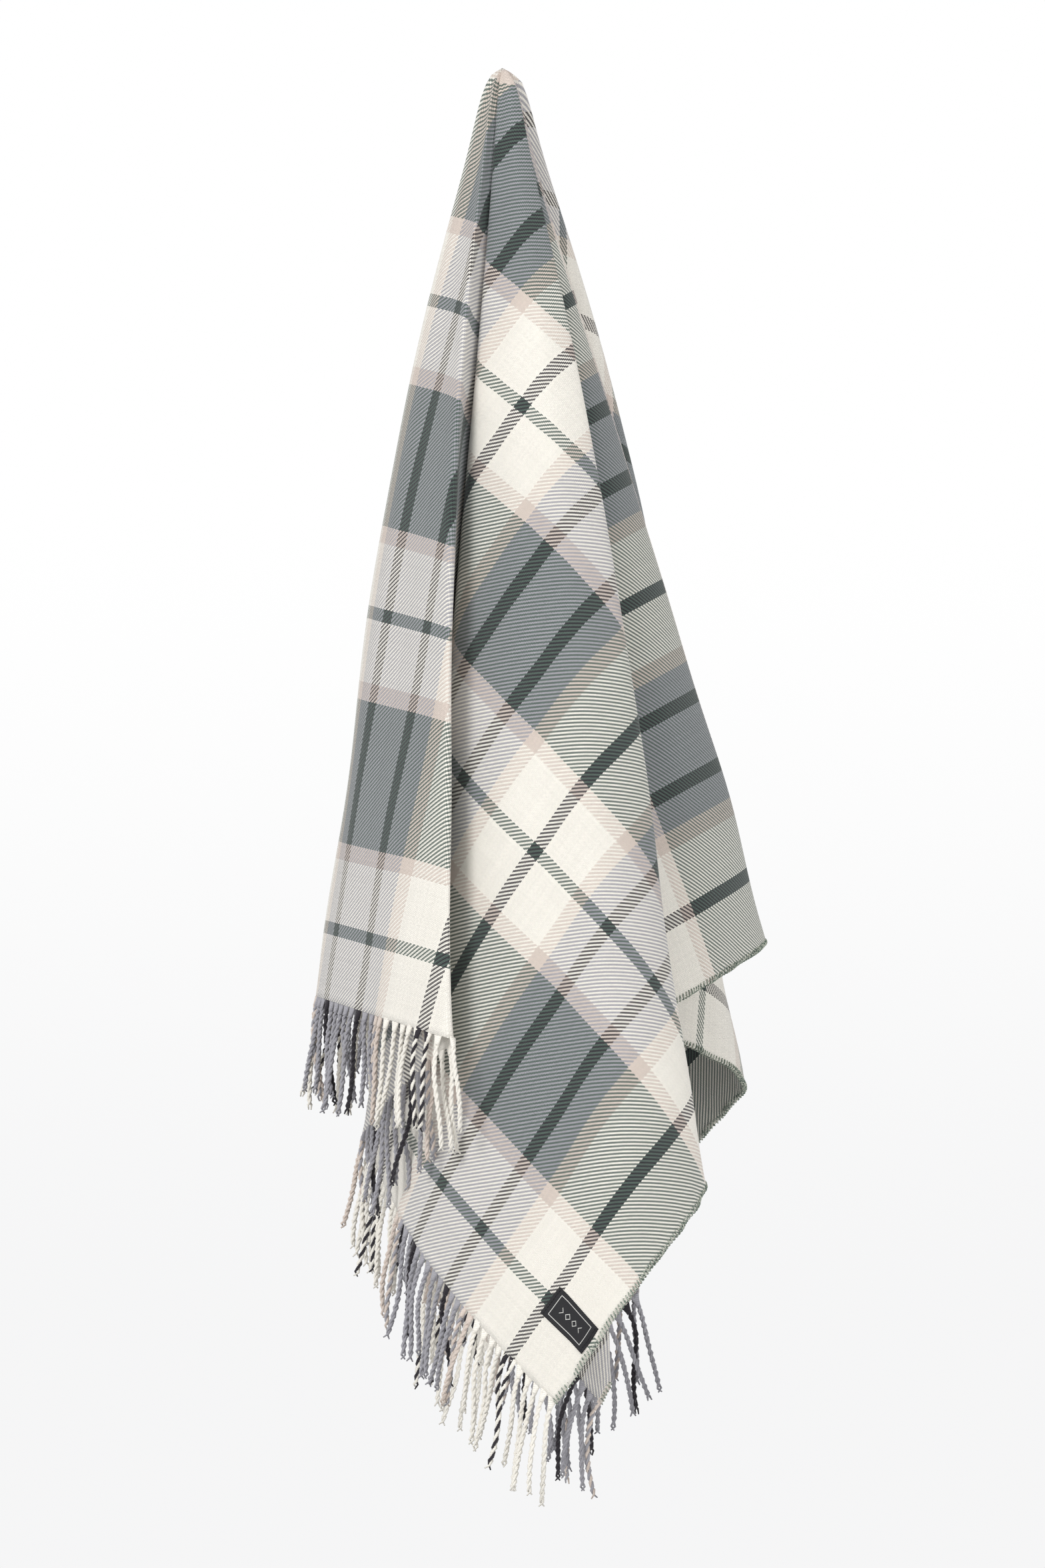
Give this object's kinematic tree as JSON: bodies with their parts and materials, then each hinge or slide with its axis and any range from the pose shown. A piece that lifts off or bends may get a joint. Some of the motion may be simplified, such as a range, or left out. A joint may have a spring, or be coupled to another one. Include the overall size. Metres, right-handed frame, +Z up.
{
  "type": "camp blanket",
  "caption": "Plaid wool camp blanket with twisted fringe at both ends, hung from one point so that it drops in deep folds.",
  "frame": {"origin": "the point where the hook holds the cloth, at the top of the hanging blanket", "axes": "+Z up, -Y towards the viewer of the front with the label, +X to the viewer's right"},
  "size_m": [0.3716, 0.5874, 1.136],
  "materials": {
    "plaid_wool": "soft brushed 2/2 twill wool in a plaid of cream, lavender grey, dark green, charcoal and beige",
    "overlock_thread": "matt whip-stitched edge thread, pale loops on dark green",
    "cream_yarn": "matt twisted wool yarn",
    "lavender_yarn": "matt twisted wool yarn",
    "label_satin": "black woven satin",
    "label_thread": "black sewing thread"
  },
  "bodies": {
    "root": {"blanket_cloth": "plaid_wool", "selvedge_overlock_label_side": "overlock_thread", "selvedge_overlock_plain_side": "overlock_thread", "label_end_fringe_cream_1": "cream_yarn", "label_end_fringe_lavender_1": "lavender_yarn", "label_end_fringe_cream_2": "cream_yarn", "label_end_fringe_lavender_2": "lavender_yarn", "label_end_fringe_cream_3": "cream_yarn", "label_end_fringe_lavender_3": "lavender_yarn", "label_end_fringe_cream_4": "cream_yarn", "label_end_fringe_lavender_4": "lavender_yarn", "label_end_fringe_cream_5": "cream_yarn", "label_end_fringe_lavender_5": "lavender_yarn", "label_end_fringe_cream_6": "cream_yarn", "label_end_fringe_lavender_6": "lavender_yarn", "far_end_fringe_cream_1": "cream_yarn", "far_end_fringe_lavender_1": "lavender_yarn", "far_end_fringe_cream_2": "cream_yarn", "far_end_fringe_lavender_2": "lavender_yarn", "far_end_fringe_cream_3": "cream_yarn", "far_end_fringe_lavender_3": "lavender_yarn", "far_end_fringe_cream_4": "cream_yarn", "far_end_fringe_lavender_4": "lavender_yarn", "far_end_fringe_cream_5": "cream_yarn", "far_end_fringe_lavender_5": "lavender_yarn", "far_end_fringe_cream_6": "cream_yarn", "far_end_fringe_lavender_6": "lavender_yarn", "woven_label": "label_satin", "label_stitching_outer": "label_thread", "label_stitching_inner": "label_thread"}
  },
  "joints": []
}
